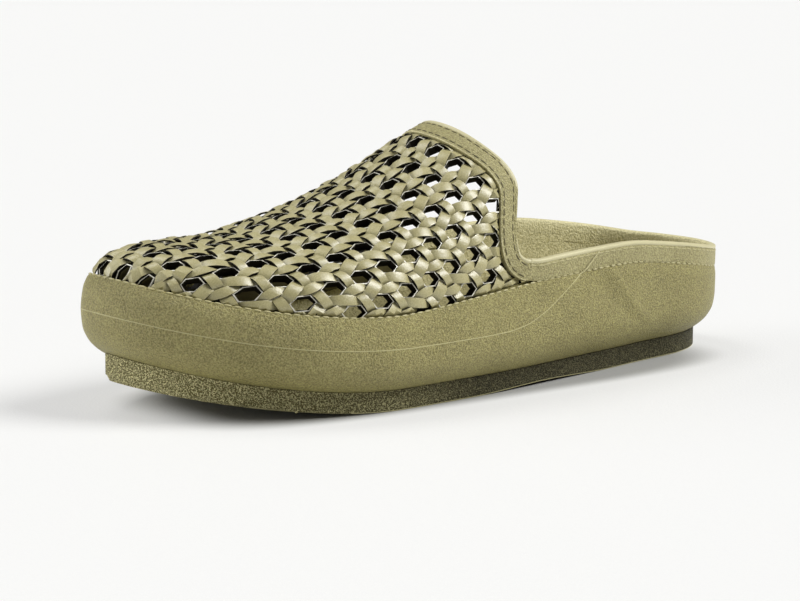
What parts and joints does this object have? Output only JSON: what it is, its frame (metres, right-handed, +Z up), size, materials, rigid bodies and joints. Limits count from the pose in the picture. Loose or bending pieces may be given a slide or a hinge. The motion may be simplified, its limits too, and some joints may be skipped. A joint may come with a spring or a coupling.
{
  "type": "woven mule",
  "caption": "Backless slip-on shoe moulded in olive foam: open-weave vamp with hexagonal holes, rolled collar, bulging cup sole with a low heel rim and an inset grained outsole.",
  "frame": {"origin": "on the floor, under the middle of the shoe's bounding box", "axes": "+X toward the toe, +Y toward the wearer's left, which is the outer side of this left shoe, +Z up"},
  "size_m": [0.2719, 0.1009, 0.0926],
  "materials": {
    "outsole_rubber": "coarse pebble grain, matt",
    "foam_side": "fine sandblasted grain, soft sheen",
    "foam_weave": "satin strips"
  },
  "bodies": {
    "root": {"outsole": "outsole_rubber", "cupsole": "foam_side", "insole": "foam_side", "upper": "foam_weave", "collar": "foam_side"}
  },
  "joints": []
}
